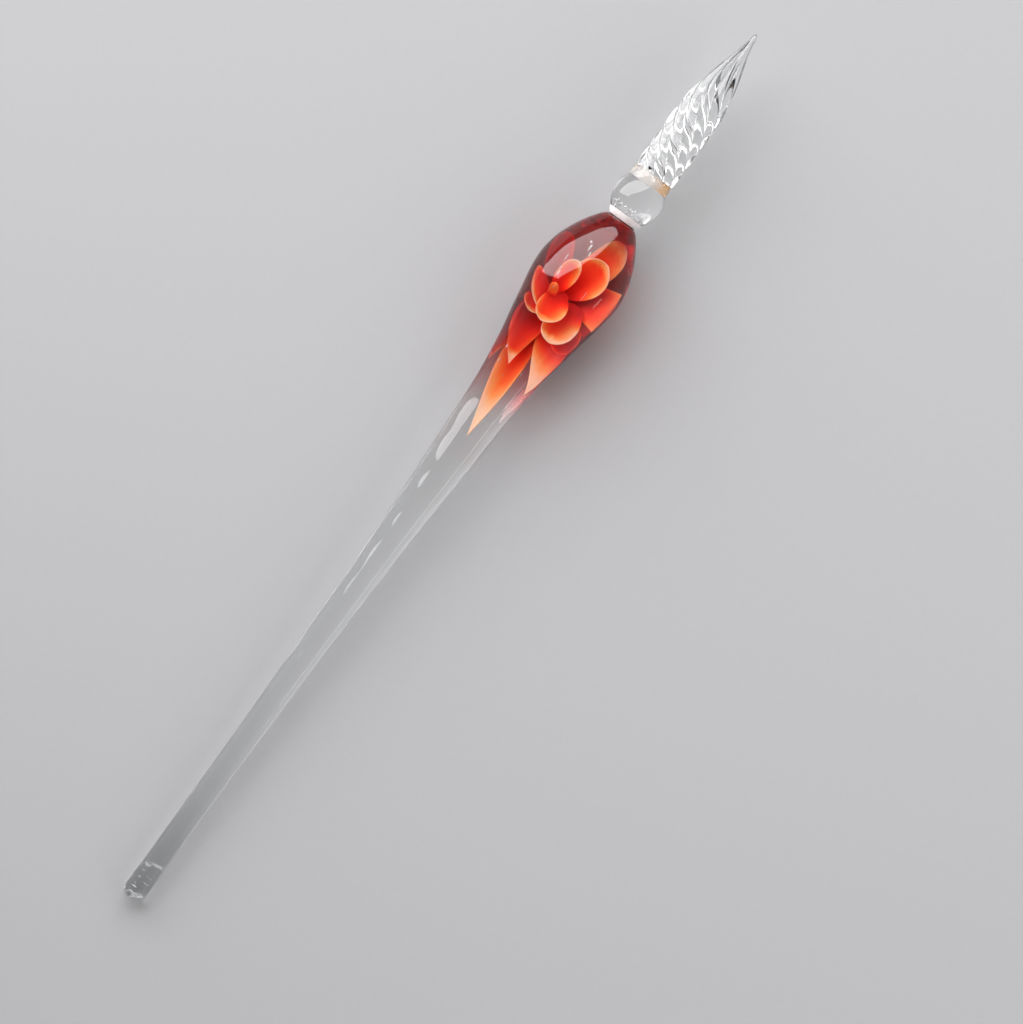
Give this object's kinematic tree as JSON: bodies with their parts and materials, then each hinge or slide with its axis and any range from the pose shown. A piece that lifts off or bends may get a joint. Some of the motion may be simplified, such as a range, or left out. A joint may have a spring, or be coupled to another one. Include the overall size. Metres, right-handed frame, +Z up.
{
  "type": "glass dip pen",
  "caption": "Glass dip pen with a twisted fluted nib, a ball knop and a teardrop grip holding a glass flower, drawn out into a long slender handle.",
  "frame": {"origin": "centre of the bounding box's underside, so the pen lies on the plane z = 0", "axes": "+X along the pen towards the nib tip, +Z up towards the side that shows the flower, +Y to the left when looking along +X"},
  "size_m": [0.1898, 0.017, 0.017],
  "materials": {
    "nib_glass": "clear fire-polished",
    "weld_amber": "amber tinted weld",
    "knop_glass": "clear fire-polished",
    "frosted_glass": "milky, full of fine bubbles",
    "body_glass": "clear fire-polished",
    "backing_glass": "clear fire-polished",
    "ruby_glass": "transparent ruby",
    "petal_glass": "opaque, red at the root and peach at the rim",
    "bud_glass": "opaque orange"
  },
  "bodies": {
    "root": {"nib": "nib_glass", "nib_weld_band": "weld_amber", "ball_knop": "knop_glass", "neck_collar": "frosted_glass", "front_gather": "body_glass", "backing_glass": "backing_glass", "ruby_skin": "ruby_glass", "handle_rod": "body_glass", "handle_end_bead": "knop_glass", "flower_bud": "bud_glass", "inner_petal_upper": "petal_glass", "inner_petal_lower": "petal_glass", "inner_petal_left": "petal_glass", "middle_petal_upper": "petal_glass", "middle_petal_lower": "petal_glass", "middle_petal_left": "petal_glass", "outer_petal_top": "petal_glass", "outer_petal_right": "petal_glass", "outer_petal_top_left": "petal_glass", "long_petal_right": "petal_glass", "long_petal_lower_right": "petal_glass", "long_petal_tail": "petal_glass", "long_petal_centre": "petal_glass", "long_petal_left": "petal_glass"}
  },
  "joints": []
}
